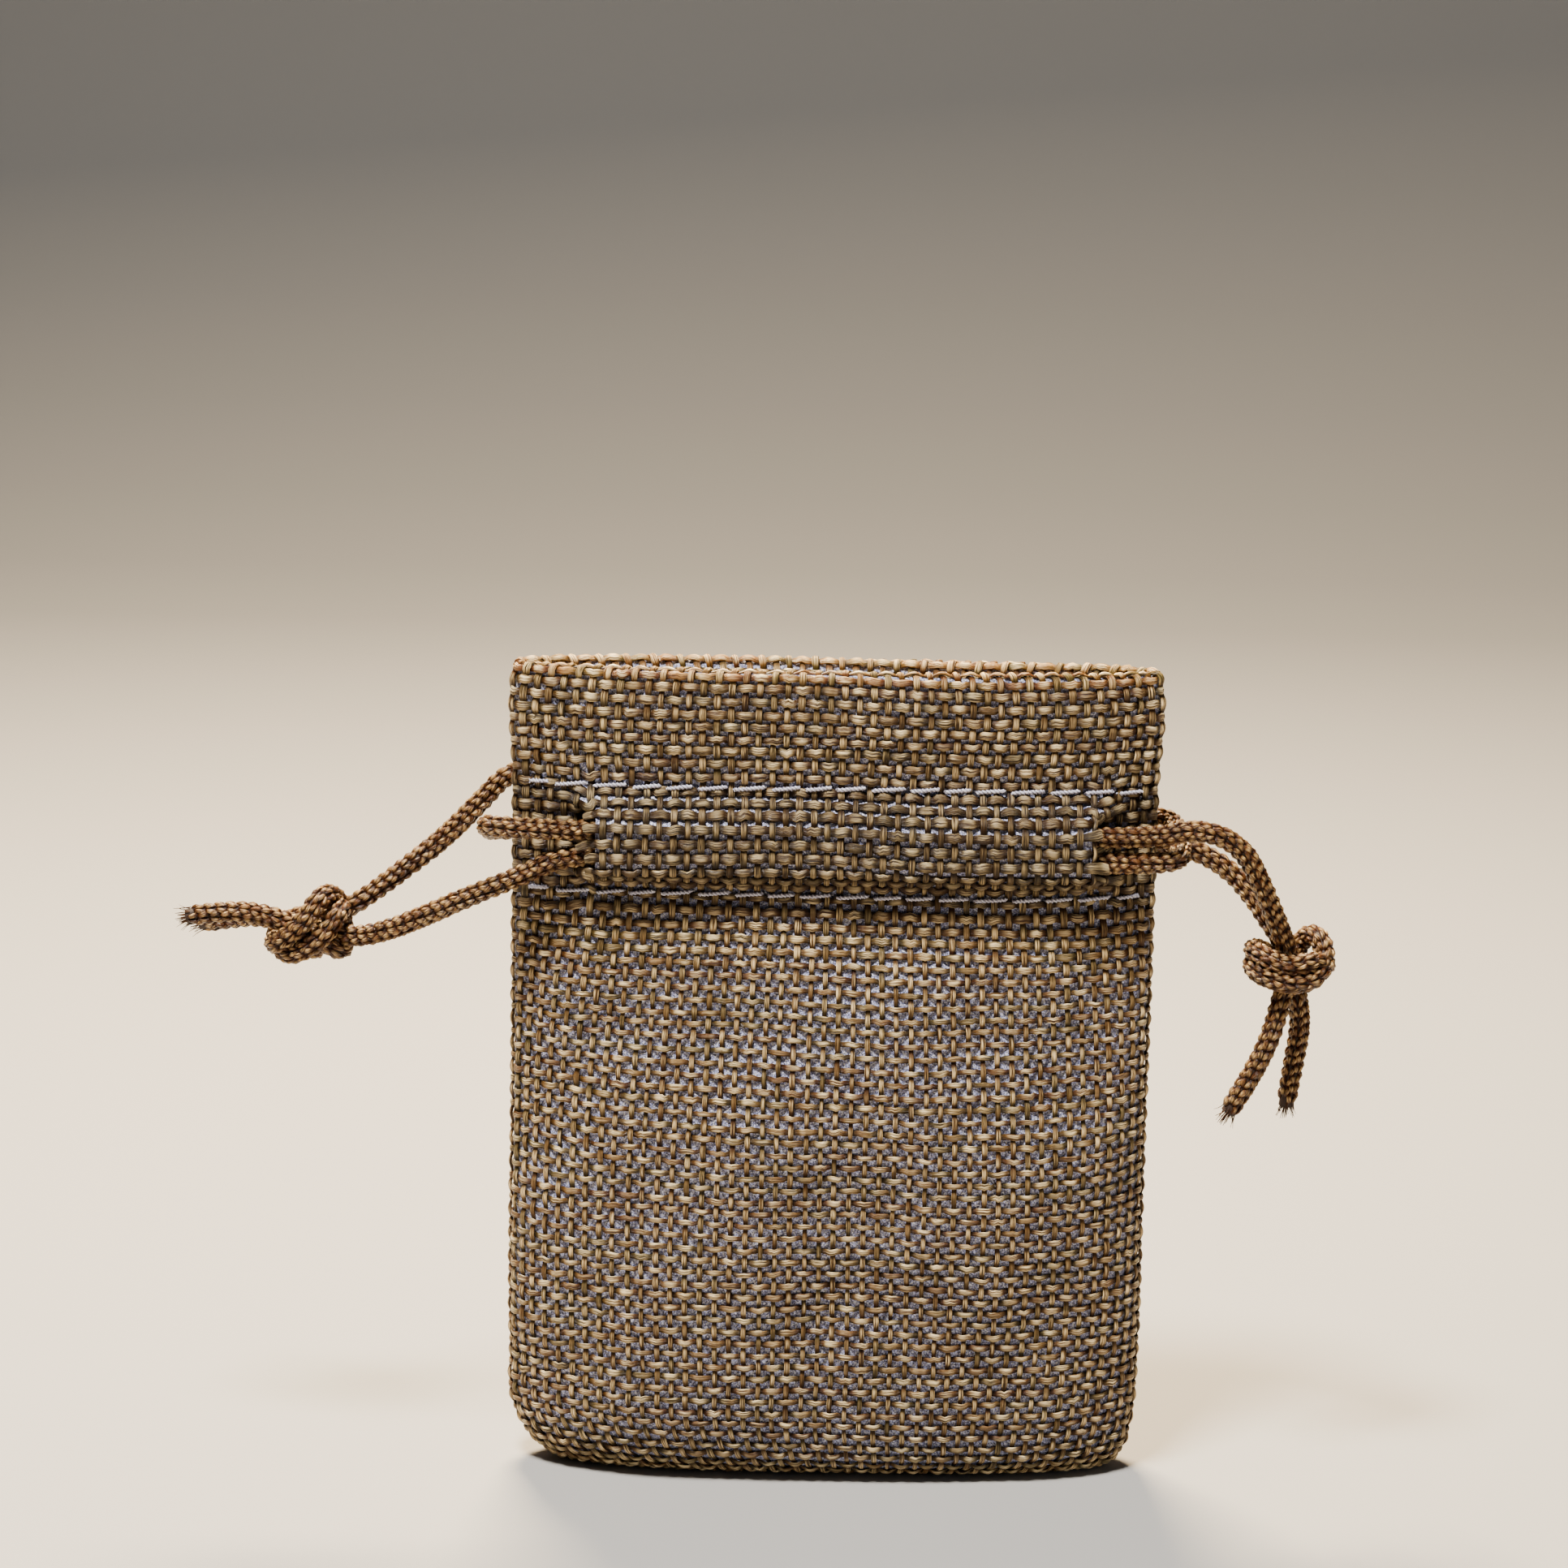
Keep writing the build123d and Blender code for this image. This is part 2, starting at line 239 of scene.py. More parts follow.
def yarnMaterial(name, look):
    # flat yarn with space-dye colour: slow colour change along it, fine filament streaks across it, a painted
    # highlight on each float's crown and painted shade where the yarn dips under its crossing yarn
    material, tree, surface = newMaterial(name)
    fibre = addNode(tree, "ShaderNodeGroup", node_tree=fibreStreaks)
    for socket in ("Along", "Across", "Shade"):
        feed(tree, attribute(tree, socket.lower()), fibre, socket)
    fibre.inputs["Filaments"].default_value = look["filaments"]
    fibre.inputs["Stretch"].default_value = look["stretch"]
    ramp = addNode(tree, "ShaderNodeValToRGB")
    stops = look["dye"]
    while len(ramp.color_ramp.elements) < len(stops):
        ramp.color_ramp.elements.new(0.5)
    for element, (position, colour) in zip(ramp.color_ramp.elements, stops):
        element.position = position
        element.color = (*colour, 1.0)
    drift = mathNode(tree, "MULTIPLY", fibre.outputs["Slow"], 0.62)
    own = mathNode(tree, "MULTIPLY", attribute(tree, "shade"), 0.38)
    feed(tree, mathNode(tree, "ADD", drift, own), ramp, "Fac")
    streak = fibre.outputs["Streak"]
    crown = attribute(tree, "crown")
    # painted highlight: the highlight colour laid along the bright filaments on the yarn's crown, fainter in
    # the darker regions
    paintedHighlightMask = mathNode(tree, "MULTIPLY", spread(tree, streak, 0.3, 0.66), spread(tree, crown, 0.45, 0.95))
    paintedHighlightMask = mathNode(tree, "MULTIPLY", paintedHighlightMask, spread(tree, fibre.outputs["Patch"], 0.0, 0.8, look["even"], 1.0))
    paintedHighlightMask = mathNode(tree, "MULTIPLY", paintedHighlightMask, spread(tree, attribute(tree, "tone"), 0.08, 0.34, 0.38, 1.0))
    # darker by region from tone: partly deeper dye, partly painted shade, with the lip's full colour a
    # painted light
    dyeAndPaintedShade = mixColours(tree, attribute(tree, "tone"), look["shadow"], ramp.outputs["Color"])
    lit = mixColours(tree, mathNode(tree, "MULTIPLY", paintedHighlightMask, look["pale"]), dyeAndPaintedShade, look["highlight"])
    dark = mixColours(tree, spread(tree, streak, 0.0, 0.45, look["dark"], 0.0), lit, look["shadow"])
    # painted shade: the shadow colour laid where the yarn dips under its crossing yarn
    paintedDipShade = mixColours(tree, spread(tree, crown, 0.0, 0.7, look["paintedDipShade"], 0.0), dark, look["shadow"])
    feed(tree, paintedDipShade, surface, "Base Color")
    roughness = spread(tree, streak, 0.0, 1.0, look["rough"] + 0.12, look["rough"] - 0.08)
    feed(tree, roughness, surface, "Roughness")
    bump = addNode(tree, "ShaderNodeBump")
    bump.inputs["Strength"].default_value = look["bump"]
    bump.inputs["Distance"].default_value = 0.00008
    feed(tree, streak, bump, "Height")
    feed(tree, bump.outputs["Normal"], surface, "Normal")
    surface.inputs["Specular IOR Level"].default_value = look["shine"]
    return material


# in each look, the highlight colour with its pale and even weights is a painted highlight on the crowns; the
# shadow colour also paints shade into the dips and the darker regions
weftYarn = yarnMaterial("weftYarn", {
    "dye": [(0.18, (0.190, 0.052, 0.006)), (0.36, (0.300, 0.120, 0.020)), (0.52, (0.400, 0.200, 0.042)),
            (0.70, (0.170, 0.120, 0.026)), (0.9, (0.520, 0.300, 0.085))],
    "highlight": (1.0, 0.77, 0.41), "shadow": (0.012, 0.004, 0.001),
    "pale": 1.0, "dark": 0.92, "paintedDipShade": 0.92, "even": 0.20, "filaments": 9.0, "stretch": 0.30, "rough": 0.32,
    "bump": 1.0, "shine": 0.30,
})
warpYarn = yarnMaterial("warpYarn", {
    "dye": [(0.18, (0.120, 0.032, 0.004)), (0.36, (0.200, 0.076, 0.012)), (0.52, (0.260, 0.120, 0.024)),
            (0.70, (0.120, 0.084, 0.018)), (0.9, (0.340, 0.185, 0.050))],
    "highlight": (1.0, 0.72, 0.35), "shadow": (0.008, 0.003, 0.0007),
    "pale": 1.0, "dark": 0.90, "paintedDipShade": 0.92, "even": 0.15, "filaments": 8.0, "stretch": 0.30, "rough": 0.40,
    "bump": 1.0, "shine": 0.22,
})
sewingThread = yarnMaterial("sewingThread", {
    "dye": [(0.1, (0.44, 0.41, 0.54)), (0.5, (0.56, 0.53, 0.66)), (0.9, (0.66, 0.64, 0.74))],
    "highlight": (0.97, 0.96, 1.0), "shadow": (0.12, 0.11, 0.19),
    "pale": 0.7, "dark": 0.35, "paintedDipShade": 0.65, "even": 0.7, "filaments": 5.0, "stretch": 2.0, "rough": 0.30,
    "bump": 0.5, "shine": 0.7,
})
cordYarn = yarnMaterial("cordYarn", {
    "dye": [(0.1, (0.030, 0.006, 0.0006)), (0.5, (0.060, 0.014, 0.0012)), (0.9, (0.115, 0.033, 0.0035))],
    "highlight": (1.0, 0.66, 0.27), "shadow": (0.010, 0.002, 0.0003),
    "pale": 0.55, "dark": 0.92, "paintedDipShade": 0.99, "even": 0.10, "filaments": 6.0, "stretch": 0.6, "rough": 0.28,
    "bump": 0.8, "shine": 0.25,
})


def makeCordCore():
    material, tree, surface = newMaterial("cordCore")
    place = addNode(tree, "ShaderNodeTexCoord")
    grain = addNode(tree, "ShaderNodeTexNoise")
    grain.inputs["Scale"].default_value = 2600.0
    feed(tree, place.outputs["Object"], grain, "Vector")
    # the core is near black: painted shade for the shaded inside of the knitted tube, seen between the legs
    colour = mixColours(tree, grain.outputs["Fac"], (0.010, 0.003, 0.0005), (0.030, 0.009, 0.002))
    feed(tree, colour, surface, "Base Color")
    surface.inputs["Roughness"].default_value = 0.7
    return material


def makeFilm():
    # crinkled pale lavender film behind the weave, with painted shade along its crinkle lines and painted
    # white glints between them
    material, tree, surface = newMaterial("liningFilm")
    place = addNode(tree, "ShaderNodeTexCoord")
    crinkle = addNode(tree, "ShaderNodeTexVoronoi", feature="DISTANCE_TO_EDGE")
    crinkle.inputs["Scale"].default_value = 3400.0
    wander = addNode(tree, "ShaderNodeTexNoise")
    wander.inputs["Scale"].default_value = 5200.0
    wander.inputs["Detail"].default_value = 4.0
    feed(tree, place.outputs["Object"], wander, "Vector")
    shifted = addNode(tree, "ShaderNodeVectorMath", operation="MULTIPLY_ADD")
    feed(tree, wander.outputs["Color"], shifted, 0)
    shifted.inputs[1].default_value = (0.0004, 0.0004, 0.0004)
    feed(tree, place.outputs["Object"], shifted, 2)
    feed(tree, shifted.outputs[0], crinkle, "Vector")
    fold = spread(tree, crinkle.outputs["Distance"], 0.0, 0.16)
    # painted shade darkens the film along its crinkle lines
    filmWithCreaseShade = mixColours(tree, fold, (0.040, 0.040, 0.085), (0.42, 0.43, 0.72))
    # painted glints: white patches standing in for light caught on the shiny film
    pale = mixColours(tree, spread(tree, wander.outputs["Fac"], 0.48, 0.66), filmWithCreaseShade, (0.95, 0.94, 1.0))
    feed(tree, pale, surface, "Base Color")
    feed(tree, spread(tree, fold, 0.0, 1.0, 0.6, 0.35), surface, "Roughness")
    bump = addNode(tree, "ShaderNodeBump")
    bump.inputs["Strength"].default_value = 0.9
    bump.inputs["Distance"].default_value = 0.0001
    feed(tree, mathNode(tree, "ADD", fold, wander.outputs["Fac"]), bump, "Height")
    feed(tree, bump.outputs["Normal"], surface, "Normal")
    return material


cordCore = makeCordCore()
liningFilm = makeFilm()
print("materials ready")

# the cloth's shape
front, back = -1, 1
clothBody = {
    "halfWidth": 35.0,
    "sideFullness": 3.0,
    "mouthFullness": {front: 2.1, back: 4.2},
    "filmInset": 0.28,
    "lowerSlope": (2.4, 5.4),
    "upperSlope": (1.4, 6.0),
    "slitEase": (0.15, 3.6),
    "fineWave": 0.42,
    "stitchPull": 0.42,
    "tuckLevel": 60.5,
    "tuckPull": 0.55,
    "seamGrooves": (-32.3, 32.6),
    "groovePull": 0.45,
    "casingMiddle": 71.2,
    "casingBulge": 7.35,
    "slitHalfHeight": 3.1,
    "leftSlit": -25.7,
    "rightSlit": 27.7,
    "stitchLevels": (77.0, 65.4),
}
# level, half depth, left half width, right half width of the cloth's middle surface, from under the base up
# and over the lip to the hem's end
clothStations = [
    (0.50, 0.0, 29.4, 31.4),
    (0.50, 3.0, 29.6, 31.6),
    (0.75, 5.4, 30.2, 32.2),
    (2.4, 7.1, 32.2, 33.4),
    (6.0, 8.4, 34.2, 34.2),
    (13.7, 9.3, 34.6, 34.5),
    (28.0, 9.8, 34.7, 34.5),
    (45.0, 8.7, 34.6, 34.5),
    (58.0, 6.3, 34.6, 34.6),
    (65.4, 4.65, 34.6, 34.6),
    (71.2, 4.55, 34.6, 34.6),
    (77.0, 4.55, 34.6, 34.6),
    (88.4, 4.80, 34.7, 34.7),
    (89.4, 4.62, 34.5, 34.5),
    (89.6, 4.15, 34.1, 34.1),
    (89.2, 3.72, 33.8, 33.8),
    (85.0, 3.66, 33.7, 33.7),
    (77.0, 3.55, 33.7, 33.7),
    (71.2, 3.55, 33.7, 33.7),
    (62.5, 3.75, 33.7, 33.7),
]
gridAcross = 193
# how light each region of cloth is drawn: partly dye, partly painted shade, with painted light on the lip
dyeAndLightByRegion = {"body": 0.46, "band": 0.26, "casing": 0.10, "lip": 1.0}


def clothDyeAndLight(z):
    # the band above the casing and the casing are darker than the body, partly deeper dye and partly painted
    # shade; the lip is lightest, a painted light on the top fold
    tone = dyeAndLightByRegion["body"] + (dyeAndLightByRegion["casing"] - dyeAndLightByRegion["body"]) * smoothStep(60, 66, z)
    tone = tone + (dyeAndLightByRegion["band"] - dyeAndLightByRegion["casing"]) * smoothStep(76, 79, z)
    return tone + (dyeAndLightByRegion["lip"] - dyeAndLightByRegion["band"]) * smoothStep(87.6, 89.2, z)


def smoothTable(stations, step):
    # a smooth line through the stations, sampled evenly along the cloth
    rows = np.array(stations, float)
    gaps = np.hypot(np.diff(rows[:, 0]), np.diff(rows[:, 1]))
    along = np.concatenate([[0], np.cumsum(gaps)])
    slopes = np.gradient(rows, along, axis=0)
    dense = np.linspace(0, along[-1], 4000)
    cell = np.clip(np.searchsorted(along, dense, side="right") - 1, 0, len(along) - 2)
    width = (along[cell + 1] - along[cell])[:, None]
    t = ((dense - along[cell]) / width[:, 0])[:, None]
    a, b = rows[cell], rows[cell + 1]
    ma, mb = slopes[cell] * width, slopes[cell + 1] * width
    line = (2 * t**3 - 3 * t**2 + 1) * a + (t**3 - 2 * t**2 + t) * ma
    line = line + (3 * t**2 - 2 * t**3) * b + (t**3 - t**2) * mb
    gaps = np.hypot(np.diff(line[:, 0]), np.diff(line[:, 1]))
    measured = np.concatenate([[0], np.cumsum(gaps)])
    count = int(round(measured[-1] / step)) + 1
    even = np.linspace(0, measured[-1], count)
    return even, np.column_stack([np.interp(even, measured, line[:, k]) for k in range(4)])


alongCloth, clothTable = smoothTable(clothStations, 0.45)
lipIndex = int(np.argmax(clothTable[:, 0]))
lipAlong = alongCloth[lipIndex]


def runAlong(line):
    # distance along a line at each of its points
    return np.concatenate([[0], np.cumsum(np.linalg.norm(np.diff(line, axis=0), axis=1))])


def smoothStep(low, high, value):
    t = np.clip((value - low) / (high - low), 0, 1)
    return t * t * (3 - 2 * t)


def clothGrid(side, seed):
    # points of one face's cloth: rows from the base's middle line, columns from left to right
    turn = np.linspace(math.pi, 0, 721)
    ex, ey = np.cos(turn), np.sin(turn)
    rows = []
    for level, depth, left, right in clothTable:
        # the mouth's left corner is square at the back and rounded at the front
        mouth = smoothStep(78, 88, level) * (clothBody["mouthFullness"][side] - clothBody["sideFullness"])
        leftX = -np.abs(ex) ** (2 / (clothBody["sideFullness"] + mouth)) * left
        x = np.where(ex < 0, leftX, np.abs(ex) ** (2 / clothBody["sideFullness"]) * right)
        y = ey * depth
        run = np.concatenate([[0], np.cumsum(np.hypot(np.diff(x), np.diff(y)))])
        even = np.linspace(0, run[-1], gridAcross)
        across, depths = np.interp(even, run, x), np.interp(even, run, y)
        rows.append(np.column_stack([across, depths, np.full(gridAcross, level)]))
    grid = np.array(rows)
    outer = np.arange(len(clothTable)) <= lipIndex
    x, y, z = grid[..., 0], grid[..., 1], grid[..., 2]
    # the casing stands out over the two cords, from slit to slit
    away = np.abs(z - clothBody["casingMiddle"])
    below = z < clothBody["casingMiddle"]
    lower, upper = (smoothStep(*clothBody[slope], away) for slope in ("lowerSlope", "upperSlope"))
    hump = 1 - np.where(below, lower, upper)
    soft = np.where(away < clothBody["slitHalfHeight"], *clothBody["slitEase"])
    within = smoothStep(clothBody["leftSlit"] - soft, clothBody["leftSlit"], x)
    within *= 1 - smoothStep(clothBody["rightSlit"], clothBody["rightSlit"] + soft, x)
    lift = hump * within * outer[:, None]
    y += (clothBody["casingBulge"] + 0.35 * np.cos(x * 0.21 + seed) * hump - y) * lift
    # slack cloth: broad waves, small puckers at the stitching, and creases that fall from the slits
    wave = np.zeros_like(x)
    for i in range(grid.shape[0]):
        for j in range(gridAcross):
            spot = Vector((x[i, j] * 0.055, z[i, j] * 0.05 + 7 * seed, 3.1 * seed))
            fine = Vector((x[i, j] * 0.17, z[i, j] * 0.11, 9.7 * seed))
            wave[i, j] = noise.noise(spot) + noise.noise(fine) * clothBody["fineWave"]
    ease = np.minimum(1, np.abs(y) / 3.0) * smoothStep(0, 12, z) * (1.9 - 1.45 * smoothStep(52, 64, z))
    pull = np.zeros_like(x)
    for level in clothBody["stitchLevels"]:
        stitches = 0.8 + 0.2 * np.cos(x * 2 * math.pi / 3.9)
        pull += clothBody["stitchPull"] * np.exp(-((z - level) / 0.9) ** 2) * stitches
    puckers = 0.5 + 0.5 * np.cos(x * 0.13 + 1.1 + seed)
    tuck = np.exp(-((z - clothBody["tuckLevel"]) / 2.6) ** 2)
    pull += clothBody["tuckPull"] * tuck * puckers * outer[:, None]
    y += wave * ease - pull * np.minimum(1, np.abs(y) / 2.5)
    # turned side seams draw the cloth in beside them
    for edge in clothBody["seamGrooves"]:
        groove = clothBody["groovePull"] * np.exp(-((x - edge) / 0.55) ** 2) * np.minimum(1, y / 2)
        y -= groove * smoothStep(40, 62, z) * outer[:, None]
    y[:] = np.maximum(y, 0)
    evenRows(grid, 62.0, 80.0, outer)
    grid[..., 1] *= side
    return grid


def evenRows(grid, low, high, outer):
    # spreads the rows evenly over the casing's slopes
    rows = np.where(outer & (clothTable[:, 0] > low) & (clothTable[:, 0] < high))[0]
    first, last = rows[0], rows[-1] + 1
    for column in range(gridAcross):
        line = grid[first:last, column].copy()
        run = runAlong(line)
        even = np.linspace(0, run[-1], len(line))
        for axis in range(3):
            grid[first:last, column, axis] = np.interp(even, run, line[:, axis])


def gridNormals(grid, side):
    downRows = np.gradient(grid, axis=0)
    acrossRows = np.gradient(grid, axis=1)
    normal = np.cross(acrossRows, downRows) * (1 if side == front else -1)
    return normal / np.maximum(np.linalg.norm(normal, axis=2, keepdims=True), 1e-9)


def sampleGrid(values, row, column):
    # smooth reading of a grid at fractional rows and columns
    r0 = np.clip(np.floor(row).astype(int), 0, values.shape[0] - 2)
    c0 = np.clip(np.floor(column).astype(int), 0, values.shape[1] - 2)
    fr, fc = (row - r0)[:, None], (column - c0)[:, None]
    top = values[r0, c0] * (1 - fc) + values[r0, c0 + 1] * fc
    low = values[r0 + 1, c0] * (1 - fc) + values[r0 + 1, c0 + 1] * fc
    return top * (1 - fr) + low * fr


# yarns along paths, by Geometry Nodes


def makeYarnTree():
    tree, inside, outside = newGroup(
        "yarnAlongPath",
        "GeometryNodeTree",
        [
            ("Geometry", "NodeSocketGeometry", None),
            ("Width", "NodeSocketFloat", 0.001),
            ("Thickness", "NodeSocketFloat", 0.0004),
            ("Sides", "NodeSocketInt", 6),
            ("Material", "NodeSocketMaterial", None),
        ],
        [("Geometry", "NodeSocketGeometry")],
    )
    toCurve = addNode(tree, "GeometryNodeMeshToCurve")
    feed(tree, inside.outputs["Geometry"], toCurve, "Mesh")
    lift = addNode(tree, "GeometryNodeInputNamedAttribute", data_type="FLOAT_VECTOR")
    lift.inputs["Name"].default_value = "lift"
    facing = addNode(tree, "GeometryNodeSetCurveNormal", mode="FREE")
    feed(tree, toCurve.outputs["Curve"], facing, "Curve")
    feed(tree, lift.outputs["Attribute"], facing, "Normal")
    girth = addNode(tree, "GeometryNodeInputNamedAttribute", data_type="FLOAT")
    girth.inputs["Name"].default_value = "girth"
    swell = addNode(tree, "GeometryNodeSetCurveRadius")
    feed(tree, facing.outputs["Curve"], swell, "Curve")
    feed(tree, girth.outputs["Attribute"], swell, "Radius")
    ring = addNode(tree, "GeometryNodeCurvePrimitiveCircle")
    feed(tree, inside.outputs["Sides"], ring, "Resolution")
    ring.inputs["Radius"].default_value = 0.5
    place = addNode(tree, "GeometryNodeInputPosition")
    split = addNode(tree, "ShaderNodeSeparateXYZ")
    feed(tree, place.outputs[0], split, 0)
    mark = addNode(tree, "GeometryNodeStoreNamedAttribute", data_type="FLOAT", domain="POINT")
    mark.inputs["Name"].default_value = "across"
    feed(tree, ring.outputs["Curve"], mark, "Geometry")
    feed(tree, split.outputs["Y"], mark, "Value")
    scale = addNode(tree, "ShaderNodeCombineXYZ")
    feed(tree, inside.outputs["Thickness"], scale, 0)
    feed(tree, inside.outputs["Width"], scale, 1)
    scale.inputs[2].default_value = 1.0
    flatten = addNode(tree, "GeometryNodeTransform")
    feed(tree, mark.outputs["Geometry"], flatten, "Geometry")
    feed(tree, scale.outputs[0], flatten, "Scale")
    radius = addNode(tree, "GeometryNodeInputRadius")
    solid = addNode(tree, "GeometryNodeCurveToMesh")
    solid.inputs["Fill Caps"].default_value = True
    feed(tree, swell.outputs["Curve"], solid, "Curve")
    feed(tree, flatten.outputs["Geometry"], solid, "Profile Curve")
    feed(tree, radius.outputs[0], solid, "Scale")
    smooth = addNode(tree, "GeometryNodeSetShadeSmooth")
    feed(tree, solid.outputs["Mesh"], smooth, "Geometry")
    realize = addNode(tree, "GeometryNodeRealizeInstances")
    feed(tree, smooth.outputs["Geometry"], realize, "Geometry")
    finish = addNode(tree, "GeometryNodeSetMaterial")
    feed(tree, realize.outputs["Geometry"], finish, "Geometry")
    feed(tree, inside.outputs["Material"], finish, "Material")
    feed(tree, finish.outputs["Geometry"], outside, "Geometry")
    return tree


yarnTree = makeYarnTree()


def applyTree(name, sourceMesh, tree, values):
    # runs a tree on a mesh and keeps the result as a plain mesh of its own
    source = placeObject(name + "Source", sourceMesh)
    modifier = source.modifiers.new("tree", "NODES")
    modifier.node_group = tree
    for item in tree.interface.items_tree:
        if item.item_type == "SOCKET" and item.in_out == "INPUT" and item.name in values:
            modifier[item.identifier] = values[item.name]
    source.update_tag()
    graph = bpy.context.evaluated_depsgraph_get()
    mesh = bpy.data.meshes.new_from_object(source.evaluated_get(graph), depsgraph=graph)
    mesh.name = name
    bpy.data.objects.remove(source)
    return placeObject(name, mesh)


class PathSet:
    # many open paths, each point with its lift (outward direction) and the values that its material reads;
    # crown carries painted highlight and shade, and tone is partly dye and partly painted light and shade
    labels = ("shade", "girth", "along", "crown", "tone")

    def __init__(self):
        self.points, self.lifts, self.edges = [], [], []
        self.values = {label: [] for label in self.labels}
        self.count = 0

    def add(self, points, lifts, shade, girth, crown=0.5, tone=1.0):
        n = len(points)
        self.points.append(points)
        self.lifts.append(lifts)
        # each path starts at its own place in the fibre pattern
        along = runAlong(points) + 37.0 * shade
        for label, value in zip(self.labels, (shade, girth, along, crown, tone)):
            self.values[label].append(np.broadcast_to(value, (n,)))
        first = self.count + np.arange(n - 1)
        self.edges.append(np.column_stack([first, first + 1]))
        self.count += n

    def mesh(self, name):
        mesh = bpy.data.meshes.new(name)
        points = np.concatenate(self.points) * mm
        edges = np.concatenate(self.edges)
        mesh.vertices.add(len(points))
        mesh.vertices.foreach_set("co", points.astype(np.float32).ravel())
        mesh.edges.add(len(edges))
        mesh.edges.foreach_set("vertices", edges.astype(np.int32).ravel())
        lift = mesh.attributes.new("lift", "FLOAT_VECTOR", "POINT")
        lift.data.foreach_set("vector", np.concatenate(self.lifts).astype(np.float32).ravel())
        for label, values in self.values.items():
            layer = mesh.attributes.new(label, "FLOAT", "POINT")
            layer.data.foreach_set("value", np.concatenate(values).astype(np.float32))
        mesh.update()
        return mesh


def yarnPiece(name, paths, width, thickness, sides, material):
    return applyTree(name, paths.mesh(name), yarnTree, {
        "Width": width * mm, "Thickness": thickness * mm, "Sides": sides, "Material": material,
    })


weave = {
    "warpPitch": 1.49,
    "weftPitch": 1.35,
    "warpWidth": 0.74,
    "warpThickness": 0.40,
    "weftWidth": 0.90,
    "weftThickness": 0.40,
    "warpWave": 0.17,
    "weftWave": 0.23,
    "stepsPerPitch": 4,
    "hemStepsPerPitch": 3,
    "sag": 0.8,
    "warpSway": 0.14,
    "warpJitter": 0.12,
    "weftJitter": 0.09,
    "rowJitter": 0.11,
    "edgeDip": 0.55,
}


def frayEnds(points, lifts, girth, ends, rng):
    # a cut weft runs on a little past its last warp, and turns up and out
    for first in (True, False):
        if not ends[0 if first else 1]:
            continue
        tip, before = (points[0], points[2]) if first else (points[-1], points[-3])
        out = (tip - before) / max(np.linalg.norm(tip - before), 1e-6)
        lift = lifts[0] if first else lifts[-1]
        reach = rng.uniform(0.7, 2.0)
        turn = rng.uniform(-0.35, 0.35)
        steps = np.array([0.3, 0.6, 1.0])[:, None]
        extra = tip + out * steps * reach + lift * steps**1.5 * rng.uniform(0.1, 0.9)
        extra = extra + np.array([0, 0, turn]) * steps**2 * reach
        wide = girth[0 if first else -1] * np.array([1.05, 1.15, 0.9])
        same = np.repeat(lift[None], 3, axis=0)
        order = (lambda old, new: [new[::-1], old]) if first else (lambda old, new: [old, new])
        points = np.concatenate(order(points, extra))
        lifts = np.concatenate(order(lifts, same))
        girth = np.concatenate(order(girth, wide))
    return points, lifts, girth


